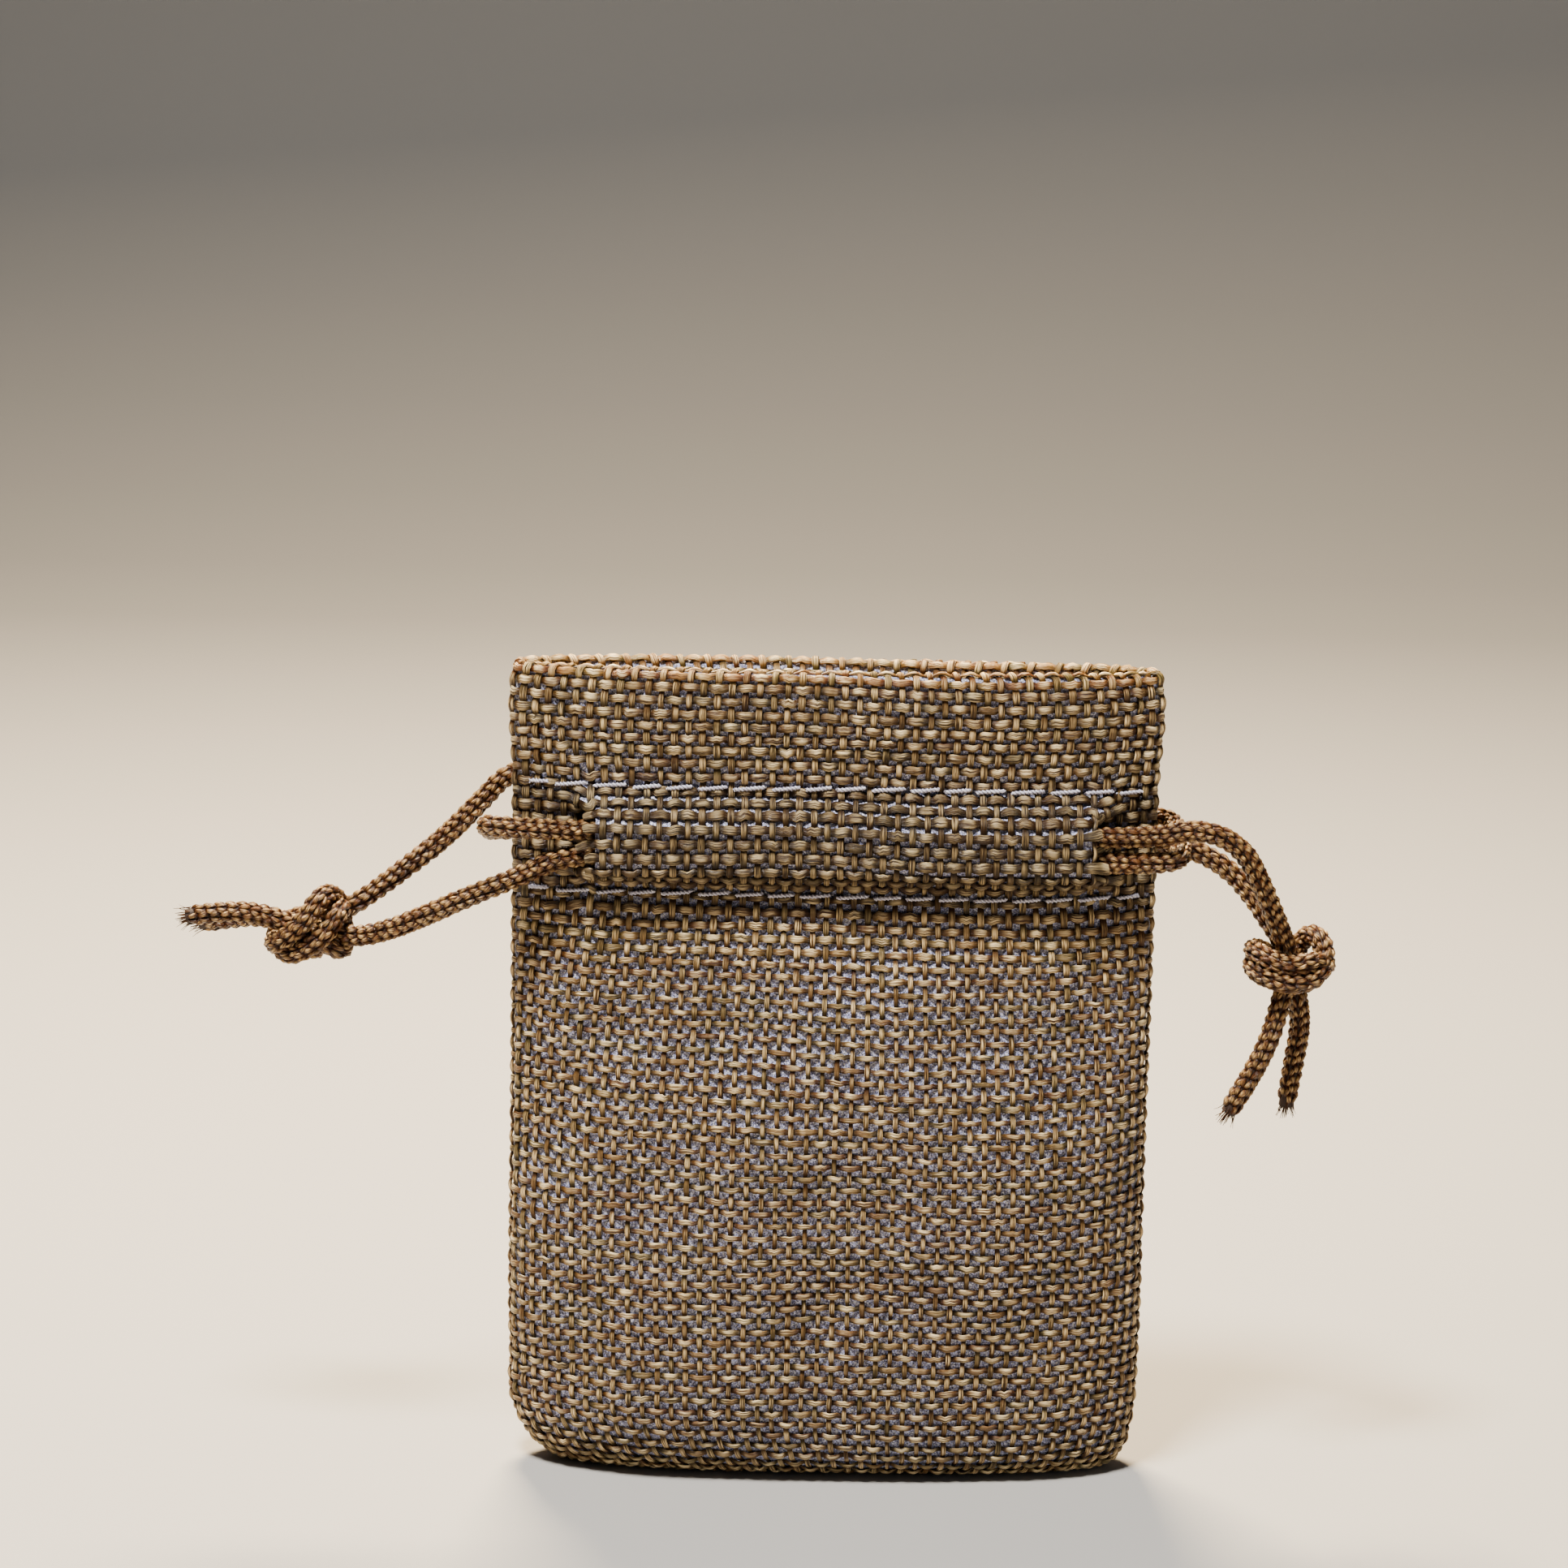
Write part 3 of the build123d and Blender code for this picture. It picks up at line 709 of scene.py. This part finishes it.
def weaveFace(side, name, seed):
    # warps run up the cloth and over the lip; wefts run across it and stop at the slits
    rng = np.random.default_rng(seed)
    grid = clothGrid(side, seed * 0.37)
    normal = gridNormals(grid, side)
    step = alongCloth[1] - alongCloth[0]
    clothWidth = 2 * clothBody["halfWidth"] + 2.5
    warpCount = int(clothWidth / weave["warpPitch"])
    weftCount = int(alongCloth[-1] / weave["weftPitch"])
    lipRow = lipAlong / weave["weftPitch"]
    sets = {key: PathSet() for key in ("Warp", "Weft", "HemWarp", "HemWeft")}
    warpAt = (np.arange(warpCount) + 0.5) / warpCount * (gridAcross - 1)
    warpAt = warpAt + rng.normal(0, weave["warpJitter"], warpCount)
    weftAt = (np.arange(weftCount) + 0.5) * weave["weftPitch"] / step
    weftAt = np.clip(weftAt + rng.normal(0, weave["weftJitter"], weftCount), 0, len(alongCloth) - 1.001)
    drift = rng.uniform(0, 6.28, 8)

    def sagging(column):
        # rows of weft are not quite level
        share = column / gridAcross
        return 0.55 * np.sin(share * 5.0 + drift[0]) + 0.30 * np.sin(share * 11 + drift[1])

    for j in range(weftCount):
        hem = j > lipRow + 1
        steps = weave["hemStepsPerPitch"] if hem else weave["stepsPerPitch"]
        across = np.arange(0, warpCount * steps + 1) / steps
        column = np.interp(across, np.arange(warpCount) + 0.5, warpAt)
        column = np.where(across < 0.5, across * 2 * warpAt[0], column)
        tail = gridAcross - 1 - warpAt[-1]
        beyond = warpAt[-1] + (across - warpCount + 0.5) * 2 * tail
        column = np.where(across > warpCount - 0.5, beyond, column)
        row = weftAt[j] + sagging(column) * weave["sag"]
        row = np.clip(row + rng.normal(0, weave["rowJitter"], len(row)), 0, len(alongCloth) - 1.001)
        over = np.cos((across - 0.5 + j) * math.pi)
        # the last yarn at each side dips into the seam
        fromEdge = np.minimum(across, warpCount - across)
        dip = -weave["edgeDip"] * np.exp(-(fromEdge / 0.45) ** 2)
        points = sampleGrid(grid, row, column)
        lifts = sampleGrid(normal, row, column)
        height = weave["weftWave"] * over + dip
        points = points + lifts * height[:, None]
        girth = (1.0 + 0.10 * over) * rng.uniform(0.86, 1.12)
        closer = 0.16 * smoothStep(64, 67, points[:, 2]) * (1 - smoothStep(75, 78, points[:, 2]))
        girth = girth * (0.74 + 0.28 * smoothStep(52, 66, points[:, 2]) + closer)
        girth = girth * (1 + 0.10 * np.sin(across * 1.7 + rng.uniform(0, 6.28)) * rng.uniform(0, 1))
        shade = rng.uniform(0, 1)
        key = "HemWeft" if hem else "Weft"
        level = points[:, 2].mean()
        cut = not hem and abs(level - clothBody["casingMiddle"]) < clothBody["slitHalfHeight"]
        if not cut:
            # crown, high on top of each float and low where it dips, drives the painted highlight and painted
            # shade in the yarn material
            sets[key].add(points, lifts, shade, girth, (over + 1) / 2, clothDyeAndLight(points[:, 2]))
            continue
        x = points[:, 0]
        left = x < clothBody["leftSlit"] - 0.35
        right = x > clothBody["rightSlit"] + 0.35
        middle = (x > clothBody["leftSlit"] + 0.15) & (x < clothBody["rightSlit"] - 0.15)
        for part in (left, middle, right):
            if part.sum() > 2:
                ends = (part is middle or part is right, part is middle or part is left)
                frayed = frayEnds(points[part], lifts[part], girth[part], ends, rng)
                # the loose cut ends get a high crown, so a painted highlight
                crown = np.full(len(frayed[0]), 0.9)
                first = len(frayed[0]) - part.sum() if ends[0] and not ends[1] else (3 if ends[0] else 0)
                crown[first:first + part.sum()] = (over[part] + 1) / 2
                sets[key].add(frayed[0], frayed[1], shade, frayed[2], crown, clothDyeAndLight(frayed[0][:, 2]))
    for i in range(warpCount):
        for key, steps, low, high in (
            ("Warp", weave["stepsPerPitch"], 0.0, lipRow + 1.5),
            ("HemWarp", weave["hemStepsPerPitch"], lipRow + 1.5, weftCount),
        ):
            count = int((high - low) * steps)
            up = np.linspace(low, high, count + 1)
            row = np.interp(up, np.arange(weftCount) + 0.5, weftAt)
            row = np.where(up < 0.5, up * 2 * weftAt[0], row)
            column = warpAt[i] + weave["warpSway"] * np.sin(up * 0.23 + drift[2] + i * 0.4)
            column = np.clip(column, 0, gridAcross - 1.001)
            row = np.clip(row + sagging(column) * weave["sag"], 0, len(alongCloth) - 1.001)
            over = -np.cos((up - 0.5 + i) * math.pi)
            points = sampleGrid(grid, row, column)
            lifts = sampleGrid(normal, row, column)
            points = points + lifts * (weave["warpWave"] * over)[:, None]
            girth = (1.0 + 0.06 * over) * rng.uniform(0.85, 1.12)
            girth = girth * (0.80 + 0.24 * smoothStep(52, 66, points[:, 2]))
            # the warp's crown likewise drives its painted highlight and painted shade
            sets[key].add(points, lifts, rng.uniform(0, 1), girth, (over + 1) / 2, clothDyeAndLight(points[:, 2]))
    pieces = []
    for key, paths in sets.items():
        kind, material = ("warp", warpYarn) if key.endswith("Warp") else ("weft", weftYarn)
        sides = 5 if key.startswith("Hem") else 6
        width, thickness = weave[kind + "Width"], weave[kind + "Thickness"]
        piece = yarnPiece(name + key, paths, width, thickness, sides, material)
        pieces.append(piece)
        print(name + key, len(piece.data.polygons), "faces")
    return grid, normal, pieces


def filmSheet(name, grid, normal):
    # the backing film lies just behind the yarns
    rows, columns = grid.shape[:2]
    points = grid - normal * clothBody["filmInset"]
    index = np.arange(rows * columns).reshape(rows, columns)
    around = [index[:-1, :-1], index[:-1, 1:], index[1:, 1:], index[1:, :-1]]
    faces = np.stack(around, axis=-1).reshape(-1, 4)
    level = grid[:-1, :-1, 2].ravel()
    x = grid[:-1, :-1, 0].ravel()
    jump = np.abs(np.diff(grid[:-1, :, 1], axis=1)).ravel()
    outer = np.repeat(np.arange(rows - 1) < lipIndex, columns - 1)
    torn = (jump > 0.8) & (np.abs(x) > 20) & (np.abs(level - clothBody["casingMiddle"]) < 5) & outer
    faces = faces[~torn]
    mesh = bpy.data.meshes.new(name)
    mesh.from_pydata((points.reshape(-1, 3) * mm).tolist(), [], faces.tolist())
    mesh.materials.append(liningFilm)
    for polygon in mesh.polygons:
        polygon.use_smooth = True
    return placeObject(name, mesh)


clothPieces = {}
for side, name, seed in ((front, "front", 11), (back, "back", 23)):
    grid, normal, pieces = weaveFace(side, name, seed)
    film = filmSheet(name + "Film", grid, normal)
    clothPieces[name] = {"grid": grid, "normal": normal, "yarns": pieces, "film": film}
for name, nodes in (("front", ("front_panel", "front_hem")), ("back", ("back_panel", "back_hem"))):
    for piece in clothPieces[name]["yarns"]:
        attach(piece, "pouch")
    film = clothPieces[name]["film"]
    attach(film, "pouch")
    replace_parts(clothPieces[name]["yarns"][0], nodes[0])
    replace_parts(clothPieces[name]["yarns"][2], nodes[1])
    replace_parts(film, "lining_film")
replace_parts(clothPieces["front"]["yarns"][1], "bottom_fold")
print("cloth ready")

# knitted cords
knit = {
    "diameter": 2.4,
    "wales": 6,
    "pitch": 1.17,
    "legLength": 1.50,
    "legWidth": 0.52,
    "legThickness": 0.50,
    "coreWidth": 1.62,
    "wispCount": 34,
    "wispWidth": 0.14,
    "wispThickness": 0.10,
}
# route points repeat the CAD route, in metres; the knot's turns and the tails follow them
cordRoutes = {
    "leftFrontCord": [
        (0.0, -0.00555, 0.06985), (-0.017, -0.00555, 0.06985), (-0.0286, -0.00555, 0.06985),
        (-0.0334, -0.0058, 0.0673), (-0.0388, -0.0053, 0.0650), (-0.0440, -0.0044, 0.0623),
        (-0.0486, -0.0034, 0.0602), (-0.0520, -0.0026, 0.0595),
        (-0.0572, -0.0008, 0.0602), (-0.0602, -0.0012, 0.0590), (-0.0598, -0.0040, 0.0586),
        (-0.0566, -0.0051, 0.0616), (-0.0548, -0.0034, 0.0644), (-0.0536, 0.0006, 0.0634),
        (-0.0530, 0.0014, 0.0596), (-0.0524, -0.0026, 0.0576), (-0.0556, -0.0034, 0.0598),
        (-0.0596, -0.0027, 0.0616), (-0.0646, -0.0029, 0.0625), (-0.0694, -0.0025, 0.0615),
    ],
    "leftBackCord": [
        (0.0, 0.00555, 0.07255), (-0.017, 0.00555, 0.07255), (-0.0284, 0.00555, 0.07255),
        (-0.0316, 0.0060, 0.0759), (-0.0352, 0.0060, 0.0766), (-0.0388, 0.0052, 0.0726),
        (-0.0426, 0.0038, 0.0689), (-0.0480, 0.0018, 0.0649), (-0.0525, 0.0002, 0.0618),
        (-0.0568, 0.0008, 0.0612), (-0.0606, -0.0004, 0.0600), (-0.0586, -0.0038, 0.0572),
        (-0.0546, -0.0047, 0.0598), (-0.0528, -0.0030, 0.0628), (-0.0534, 0.0018, 0.0616),
        (-0.0552, 0.0020, 0.0580), (-0.0560, -0.0016, 0.0574), (-0.0580, -0.0010, 0.0604),
        (-0.0606, 0.0003, 0.0608), (-0.0642, 0.0009, 0.0608), (-0.0686, 0.0012, 0.0599),
    ],
    "rightFrontCord": [
        (0.0, -0.00555, 0.07255), (0.019, -0.00555, 0.07255), (0.0334, -0.00555, 0.07255),
        (0.0388, -0.0054, 0.0738), (0.0434, -0.0050, 0.0718), (0.0460, -0.0043, 0.0668),
        (0.0482, -0.0033, 0.0619), (0.0494, -0.0016, 0.0586),
        (0.0502, 0.0006, 0.0572), (0.0506, 0.0016, 0.0598), (0.0522, -0.0006, 0.0616),
        (0.0532, -0.0028, 0.0594), (0.0520, -0.0047, 0.0572), (0.0490, -0.0052, 0.0567),
        (0.0458, -0.0036, 0.0574), (0.0452, -0.0004, 0.0580), (0.0474, 0.0014, 0.0574),
        (0.0500, 0.0008, 0.0566), (0.0506, 0.0002, 0.0540), (0.0512, 0.0008, 0.0506),
        (0.0506, 0.0012, 0.0460), (0.0500, 0.0012, 0.0414),
    ],
    "rightBackCord": [
        (0.0, 0.00555, 0.06985), (0.019, 0.00555, 0.06985), (0.0336, 0.00555, 0.06985),
        (0.0388, 0.0053, 0.0693), (0.0432, 0.0042, 0.0672), (0.0464, 0.0024, 0.0634),
        (0.0488, 0.0006, 0.0600), (0.0504, 0.0004, 0.0578),
        (0.0526, -0.0004, 0.0574), (0.0534, -0.0024, 0.0584), (0.0516, -0.0046, 0.0592),
        (0.0488, -0.0050, 0.0586), (0.0462, -0.0034, 0.0594), (0.0452, -0.0006, 0.0596),
        (0.0470, 0.0012, 0.0588), (0.0490, -0.0008, 0.0570), (0.0488, -0.0023, 0.0556),
        (0.0476, -0.0031, 0.0506), (0.0456, -0.0033, 0.0460), (0.0432, -0.0031, 0.0418),
    ],
    "leftCordWrap": [
        (0.0140, -0.00555, 0.06985), (0.0280, -0.00575, 0.06985), (0.0366, -0.00565, 0.06995),
        (0.0372, -0.0018, 0.0706), (0.0372, 0.0018, 0.0717), (0.0366, 0.00555, 0.07255),
        (0.0280, 0.00555, 0.07255), (0.0140, 0.00555, 0.07255),
    ],
    "rightCordWrap": [
        (-0.0140, -0.00555, 0.07255), (-0.0262, -0.00580, 0.0724), (-0.0366, -0.00575, 0.0727),
        (-0.0373, -0.0018, 0.0720), (-0.0373, 0.0018, 0.0707), (-0.0366, 0.00555, 0.06985),
        (-0.0270, 0.00555, 0.06985), (-0.0140, 0.00555, 0.06985),
    ],
}


def routeLine(name, points):
    # the route's smooth line, read back from a NURBS curve
    curve = bpy.data.curves.new(name, "CURVE")
    curve.dimensions = "3D"
    spline = curve.splines.new("NURBS")
    spline.points.add(len(points) - 1)
    for point, place in zip(spline.points, points):
        point.co = (*place, 1.0)
    spline.order_u = 3
    spline.use_endpoint_u = True
    spline.resolution_u = 12
    holder = placeObject(name, curve)
    graph = bpy.context.evaluated_depsgraph_get()
    mesh = bpy.data.meshes.new_from_object(holder.evaluated_get(graph), depsgraph=graph)
    line = np.array([vertex.co for vertex in mesh.vertices]) / mm
    bpy.data.objects.remove(holder)
    bpy.data.meshes.remove(mesh)
    keep = np.concatenate([[True], np.linalg.norm(np.diff(line, axis=0), axis=1) > 1e-5])
    return line[keep]


def evenLine(line, step):
    run = runAlong(line)
    count = max(2, int(round(run[-1] / step)) + 1)
    even = np.linspace(0, run[-1], count)
    return even, np.column_stack([np.interp(even, run, line[:, axis]) for axis in range(3)])


def lineFrames(line):
    # directions along and square to a line that turn as little as they can
    ahead = np.gradient(line, axis=0)
    ahead /= np.linalg.norm(ahead, axis=1, keepdims=True)
    side = np.zeros_like(line)
    start = np.cross(ahead[0], [0, 0, 1.0])
    side[0] = start / np.linalg.norm(start)
    for index in range(1, len(line)):
        step = side[index - 1] - ahead[index] * np.dot(side[index - 1], ahead[index])
        side[index] = step / np.linalg.norm(step)
    return ahead, side, np.cross(ahead, side)


def joinPieces(name, pieces):
    with bpy.context.temp_override(
        active_object=pieces[0], object=pieces[0], selected_objects=pieces, selected_editable_objects=pieces
    ):
        bpy.ops.object.join()
    pieces[0].name = name
    pieces[0].data.name = name
    return pieces[0]


def knittedCord(name, seed, freeEnd):
    rng = np.random.default_rng(seed)
    line = routeLine(name, cordRoutes[name])
    run, fine = evenLine(line, 0.1)
    ahead, side, up = lineFrames(fine)
    legs, core, wisps = PathSet(), PathSet(), PathSet()
    count = int((run[-1] - knit["legLength"]) / knit["pitch"])
    turn = 2 * math.pi / knit["wales"]
    t = np.linspace(0, 1, 5)
    for wale in range(knit["wales"]):
        for row in range(count + 1):
            first = row * knit["pitch"] + wale * knit["pitch"] / knit["wales"] * 2 + rng.normal(0, 0.04)
            for hand in (-1, 1):
                s = first + t * knit["legLength"]
                if s[-1] > run[-1]:
                    continue
                angle = wale * turn + hand * turn * (0.40 * (1 - t) ** 0.8 + 0.10) + rng.normal(0, 0.03)
                angle = angle + s * 0.05
                radius = 0.96 - 0.34 * (1 - np.sin(math.pi * np.clip(t * 0.94 + 0.03, 0, 1)))
                where = s / run[-1] * (len(fine) - 1)
                middle = sampleLine(fine, where)
                out = np.cos(angle)[:, None] * sampleLine(side, where)
                out = out + np.sin(angle)[:, None] * sampleLine(up, where)
                girth = np.array([0.5, 0.95, 1.05, 0.9, 0.45]) * rng.uniform(0.9, 1.08)
                # painted highlight on each leg's middle and painted shade at its ends, through crown
                crown = np.array([0.0, 0.45, 1.0, 0.6, 0.0])
                legs.add(middle + out * radius[:, None], out, rng.uniform(0, 1), girth, crown)
    coreLine = evenLine(line, 0.4)[1]
    core.add(coreLine, lineFrames(coreLine)[1], 0.5, 1.0)
    pieces = [
        yarnPiece(name + "Legs", legs, knit["legWidth"], knit["legThickness"], 6, cordYarn),
        yarnPiece(name + "Core", core, knit["coreWidth"], knit["coreWidth"], 10, cordCore),
    ]
    if freeEnd:
        # cut filaments that stand out of the tail's end
        for _ in range(knit["wispCount"]):
            angle = rng.uniform(0, 2 * math.pi)
            start = rng.uniform(0.1, 0.95)
            out = math.cos(angle) * side[-1] + math.sin(angle) * up[-1]
            reach = rng.uniform(0.4, 1.5)
            splay = rng.uniform(0.1, 0.7)
            steps = np.linspace(0, 1, 4)[:, None]
            tips = fine[-1] - ahead[-1] * 0.6 + out * start
            tips = tips + ahead[-1] * steps * (reach + 0.6) + out * steps**2 * splay
            taper = np.array([1.0, 1.0, 0.8, 0.4])
            wisps.add(tips, np.repeat(out[None], 4, axis=0), rng.uniform(0, 1), taper)
        pieces.append(yarnPiece(
            name + "Wisps", wisps, knit["wispWidth"], knit["wispThickness"], 4, cordYarn
        ))
    piece = joinPieces(name, pieces)
    print(name, "length", round(float(run[-1]), 2), "mm,", len(piece.data.polygons), "faces")
    return piece, line * mm


def sampleLine(values, where):
    low = np.clip(np.floor(where).astype(int), 0, len(values) - 2)
    share = (where - low)[:, None]
    return values[low] * (1 - share) + values[low + 1] * share


def freeCord(name, seed, nodes):
    piece, line = knittedCord(name, seed, True)
    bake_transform(piece)
    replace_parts(piece, *nodes)
    return piece


freeCord(
    "leftFrontCord", 51,
    ("left_cord_front_run", "left_cord_front_strand", "left_knot", "left_tail_front"),
)
freeCord(
    "leftBackCord", 52,
    ("left_cord_back_run", "left_cord_back_strand", "left_tail_back"),
)
freeCord(
    "rightFrontCord", 53,
    ("right_cord_front_run", "right_cord_front_strand", "right_knot", "right_tail_back"),
)
freeCord(
    "rightBackCord", 54,
    ("right_cord_back_run", "right_cord_back_strand", "right_tail_front"),
)
for name, node, exit, seed in (
    ("leftCordWrap", "left_cord_wrap", (0.0277, -0.00555, 0.06985), 55),
    ("rightCordWrap", "right_cord_wrap", (-0.0257, -0.00555, 0.07255), 56),
):
    piece, line = knittedCord(name, seed, False)
    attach(piece, "pouch")
    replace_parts(piece, node)
print("cords ready")

# sewing thread
leftAllowance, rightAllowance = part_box("left_seam_allowance"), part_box("right_seam_allowance")
sewing = {
    "plyWidth": 0.29,
    "plyOffset": 0.135,
    "twist": 0.85,
    "stitchPitch": 3.9,
    "tunnelledShare": 0.13,
    "rowEnd": 33.6,
    "allowanceOuter": {-1: -leftAllowance[0][0] / mm, 1: rightAllowance[1][0] / mm},
    "allowanceWidth": 4.2,
    "allowanceBottom": leftAllowance[0][2] / mm,
    "allowanceTop": leftAllowance[1][2] / mm,
    "overlockPitch": 3.0,
    "overlockPly": 0.16,
}


def twistedThread(paths, line, lifts, seed):
    # two plies laid round each other along a line
    rng = np.random.default_rng(seed)
    run = runAlong(line)
    ahead = np.gradient(line, axis=0)
    ahead /= np.linalg.norm(ahead, axis=1, keepdims=True)
    side = np.cross(ahead, lifts)
    turn = run / sewing["twist"] * 2 * math.pi + rng.uniform(0, 6.28)
    for phase in (0, math.pi):
        out = lifts * np.cos(turn + phase)[:, None] + side * np.sin(turn + phase)[:, None]
        # crown paints each ply lighter on its outward side and darker on its inward side: painted highlight
        # and painted shade
        crown = 0.5 + 0.5 * np.cos(turn + phase)
        paths.add(line + out * sewing["plyOffset"], out, rng.uniform(0, 1), 1.0, crown)


def seamRow(paths, cloth, level, outside, seed):
    # lockstitch: long stitches on the face, short dips between them where the thread goes through
    rng = np.random.default_rng(seed)
    grid, normal = cloth["grid"], cloth["normal"]
    rows = np.arange(grid.shape[0])
    half = rows <= lipIndex if outside else rows > lipIndex
    used = rows[half & (clothTable[:, 0] > 60)]
    columns = np.linspace(0, gridAcross - 1, gridAcross)
    where = []
    for column in range(gridAcross):
        heights = grid[used, column, 2]
        order = np.argsort(heights)
        where.append(np.interp(level, heights[order], used[order]))
    where = np.array(where)
    x = grid[lipIndex // 2, :, 0]
    steps = np.arange(-sewing["rowEnd"], sewing["rowEnd"], 0.16)
    column = np.interp(steps, x, columns)
    row = np.interp(column, columns, where)
    row = row + 0.35 * np.sin(steps * 0.11 + seed)
    base = sampleGrid(grid, row, column)
    lifts = sampleGrid(normal, row, column)
    lifts /= np.linalg.norm(lifts, axis=1, keepdims=True)
    phase = (steps + 0.3 * np.sin(steps * 0.4 + seed)) / sewing["stitchPitch"]
    inStitch = np.abs((phase % 1.0) - 0.5) * 2
    dip = smoothStep(1 - 2 * sewing["tunnelledShare"], 1.0, inStitch)
    height = 0.47 - 0.95 * dip + 0.05 * np.sin(steps * 2.1)
    lean = (phase % 1.0 - 0.5) * 0.35
    line = base + lifts * height[:, None] + np.array([0, 0, 1.0]) * (lean * (1 - dip))[:, None]
    twistedThread(paths, line, lifts, seed + 5)


for side, name, index in ((front, "front", 0), (back, "back", 1)):
    for row, level in enumerate(clothBody["stitchLevels"]):
        paths = PathSet()
        seamRow(paths, clothPieces[name], level, True, 70 + 4 * index + 2 * row)
        seamRow(paths, clothPieces[name], level, False, 71 + 4 * index + 2 * row)
        label = ("Upper", "Lower")[row]
        ply = sewing["plyWidth"]
        piece = yarnPiece(name + label + "Seam", paths, ply, ply, 5, sewingThread)
        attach(piece, "pouch")
        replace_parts(piece, f"{name}_{label.lower()}_stitching")


def seamAllowance(name, side, seed):
    # two strips of the same weave inside the side seam
    rng = np.random.default_rng(seed)
    wefts, warps = PathSet(), PathSet()
    low, high = sewing["allowanceBottom"], sewing["allowanceTop"]
    count = int((high - low) / weave["weftPitch"])
    threads = int(sewing["allowanceWidth"] / weave["warpPitch"])
    for face in (-1, 1):
        lift = np.array([0, face, 0.0])
        for index in range(count):
            level = low + (index + 0.5) * weave["weftPitch"] + rng.normal(0, 0.06)
            across = np.linspace(0, threads + 0.7, threads * 4 + 3)
            over = np.cos((across - 0.5 + index) * math.pi)
            x = side * (sewing["allowanceOuter"][side] - across * weave["warpPitch"])
            points = np.column_stack([x, face * (0.44 + 0.16 * over), np.full(len(x), level)])
            # crown drives the painted highlight and painted shade on these yarns, as on the face
            wefts.add(points, np.repeat(lift[None], len(x), axis=0), rng.uniform(0, 1), 0.9, (over + 1) / 2)
        for index in range(threads):
            up = np.linspace(0, count, count * 3 + 1)
            over = -np.cos((up - 0.5 + index) * math.pi)
            x = side * (sewing["allowanceOuter"][side] - (index + 0.5) * weave["warpPitch"])
            height = low + up * weave["weftPitch"]
            points = np.column_stack([np.full(len(up), x), face * (0.44 + 0.12 * over), height])
            lifts = np.repeat(lift[None], len(up), axis=0)
            warps.add(points, lifts, rng.uniform(0, 1), 0.9, (over + 1) / 2)
    strips = []
    for label, paths, kind, material in (
        ("Weft", wefts, "weft", weftYarn), ("Warp", warps, "warp", warpYarn),
    ):
        width, thickness = weave[kind + "Width"], weave[kind + "Thickness"]
        strips.append(yarnPiece(name + label, paths, width, thickness, 5, material))
    piece = joinPieces(name, strips)
    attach(piece, "pouch")
    return piece


def overlockThread(name, side, seed):
    # loops round the raw edge, with a chain along each face
    loops = PathSet()
    low, high = sewing["allowanceBottom"] + 0.8, sewing["allowanceTop"] - 0.8
    raw = sewing["allowanceOuter"][side] - sewing["allowanceWidth"]
    turns = (high - low) / sewing["overlockPitch"]
    t = np.linspace(0, turns, int(turns * 20))
    around = 2 * math.pi * t
    x = raw + 1.45 - 1.75 * np.cos(around)
    y = 0.86 * np.sign(np.sin(around)) * np.abs(np.sin(around)) ** 0.4
    z = low + (high - low) * t / turns
    line = np.column_stack([side * x, y, z])
    lifts = np.column_stack([-side * np.cos(around), np.sin(around), np.zeros(len(t))])
    twistedThread(loops, line, lifts, seed)
    for face in (-1, 1):
        z = np.arange(low, high, 0.3)
        x = raw + 3.1 + 0.12 * np.sin(z * 2 * math.pi / sewing["overlockPitch"])
        line = np.column_stack([side * x, np.full(len(z), face * 0.9), z])
        twistedThread(loops, line, np.repeat([[0, face, 0.0]], len(z), axis=0), seed + 1)
    piece = yarnPiece(name, loops, sewing["overlockPly"], sewing["overlockPly"], 4, sewingThread)
    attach(piece, "pouch")
    return piece


for side, name in ((-1, "left"), (1, "right")):
    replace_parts(seamAllowance(name + "SeamAllowance", side, 80 + side), name + "_seam_allowance")
    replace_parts(overlockThread(name + "OverlockThread", side, 85 + side), name + "_overlock_thread")
print("seams ready")

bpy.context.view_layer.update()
